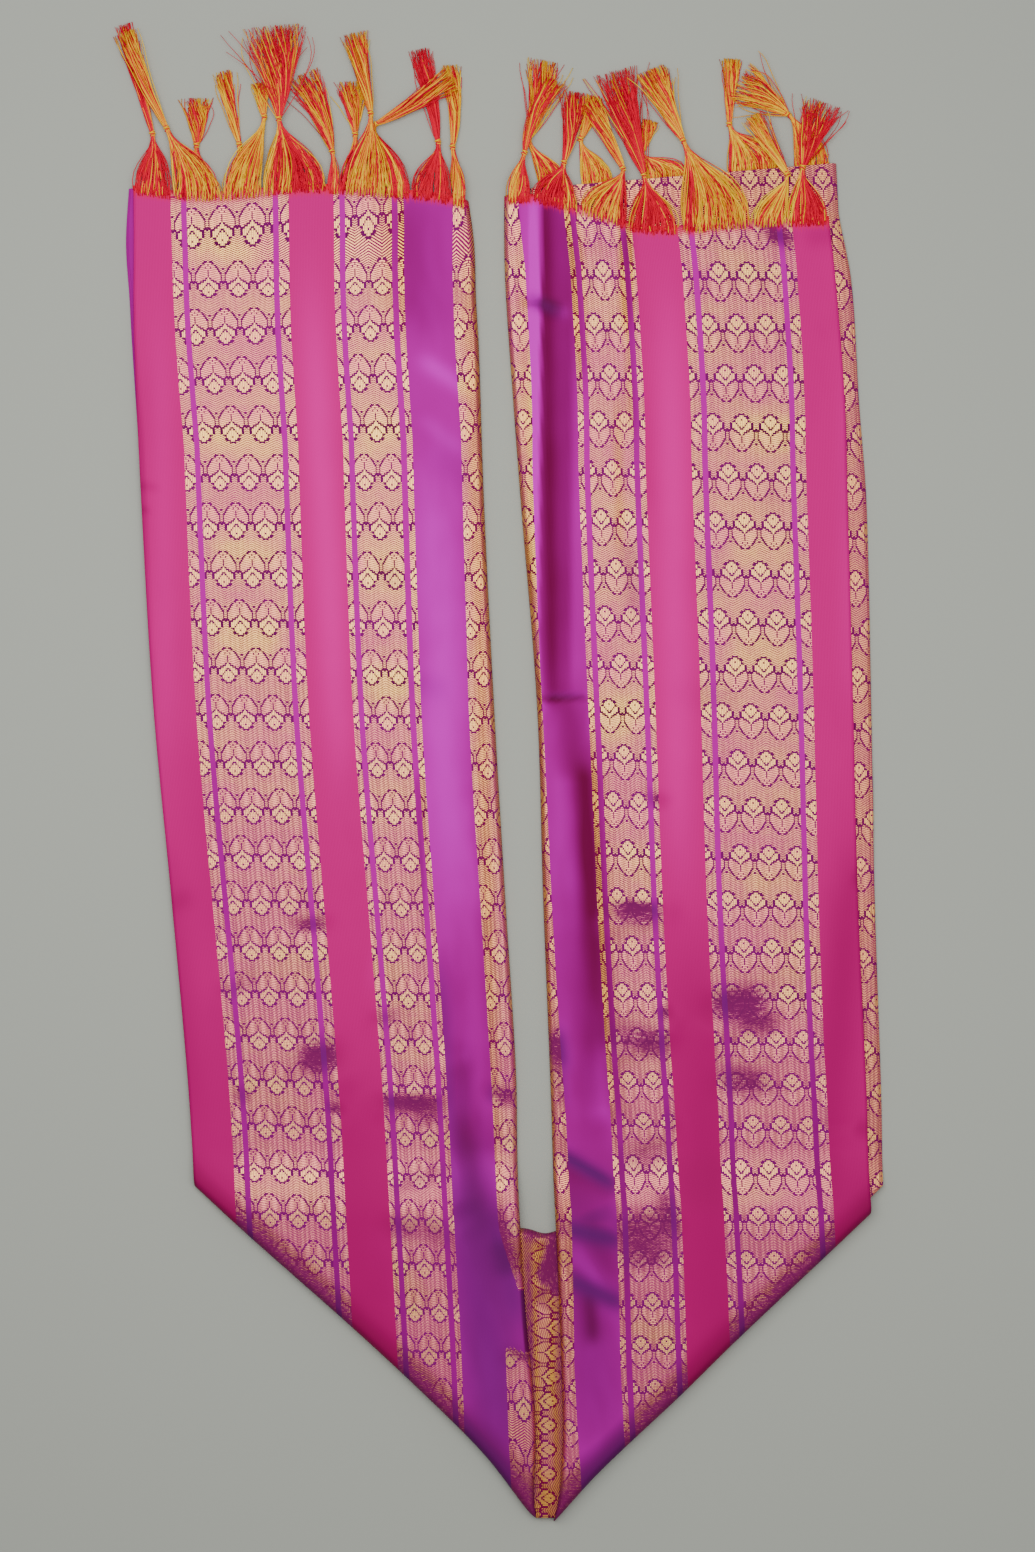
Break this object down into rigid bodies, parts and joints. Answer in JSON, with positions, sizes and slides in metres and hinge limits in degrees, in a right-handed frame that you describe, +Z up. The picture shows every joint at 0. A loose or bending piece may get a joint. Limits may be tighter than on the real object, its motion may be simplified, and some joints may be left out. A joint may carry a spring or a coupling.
{
  "type": "zari shawl",
  "caption": "Silk zari shawl with knotted tassels, folded lengthwise into a band and laid flat in a V.",
  "frame": {"origin": "middle of the base, on the surface the shawl lies on", "axes": "+Y towards the tasselled ends, +X towards the right arm as seen from above, +Z up"},
  "size_m": [0.5719, 1.1227, 0.0177],
  "materials": {
    "zari_cloth": "magenta and purple shot silk with gold brocade stripes",
    "folded_layers": "shot silk with an all-over gold brocade, seen at the folds",
    "red_yarn": "glossy red silk yarn",
    "gold_yarn": "glossy golden yellow silk yarn"
  },
  "bodies": {
    "root": {"left_arm_cloth": "zari_cloth", "right_arm_cloth": "zari_cloth", "cross_cloth": "zari_cloth", "left_hidden_layers": "folded_layers", "right_hidden_layers": "folded_layers", "cross_hidden_layers": "folded_layers", "left_tassel_01": "red_yarn", "left_tassel_02": "gold_yarn", "left_tassel_03": "gold_yarn", "left_tassel_04": "red_yarn", "left_tassel_05": "gold_yarn", "left_tassel_06": "red_yarn", "left_tassel_07": "gold_yarn", "left_tassel_08": "red_yarn", "left_tassel_09": "red_yarn", "left_tassel_10": "red_yarn", "left_tassel_11": "gold_yarn", "left_tassel_12": "red_yarn", "right_tassel_13": "gold_yarn", "right_tassel_14": "gold_yarn", "right_tassel_15": "red_yarn", "right_tassel_16": "red_yarn", "right_tassel_17": "gold_yarn", "right_tassel_18": "red_yarn", "right_tassel_19": "red_yarn", "right_tassel_20": "gold_yarn", "right_tassel_21": "gold_yarn", "right_tassel_22": "red_yarn", "right_tassel_23": "red_yarn", "right_tassel_24": "red_yarn"}
  },
  "joints": []
}
